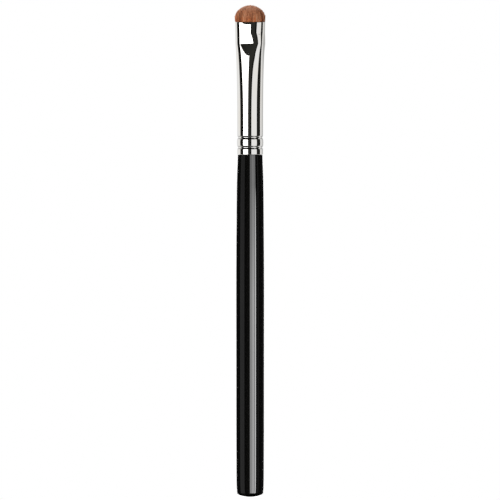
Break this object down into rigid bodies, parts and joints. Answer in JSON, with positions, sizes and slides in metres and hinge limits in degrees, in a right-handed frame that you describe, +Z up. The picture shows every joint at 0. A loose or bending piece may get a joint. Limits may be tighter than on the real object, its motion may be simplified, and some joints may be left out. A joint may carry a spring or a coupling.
{
  "type": "eye definer brush",
  "caption": "Slim cosmetic brush with a black lacquered handle, a metal ferrule pressed flat at its mouth and a short domed tuft of brown hair.",
  "frame": {"origin": "centre of the small flat at the handle's tail end", "axes": "+Z up the handle to the hair, broad faces of the ferrule's mouth to -Y and +Y, narrow sides to -X and +X"},
  "size_m": [0.01, 0.0092, 0.16],
  "materials": {
    "handle": "hardwood under gloss black lacquer",
    "ferrule": "polished nickel plate on a thin tube",
    "hair": "soft brown hair, lighter towards the tips",
    "thread": "waxed binding thread",
    "glue": "cast amber adhesive"
  },
  "bodies": {
    "root": {"handle": "handle", "ferrule": "ferrule", "hair_tuft": "hair", "binding_thread": "thread", "glue_plug": "glue"}
  },
  "joints": []
}
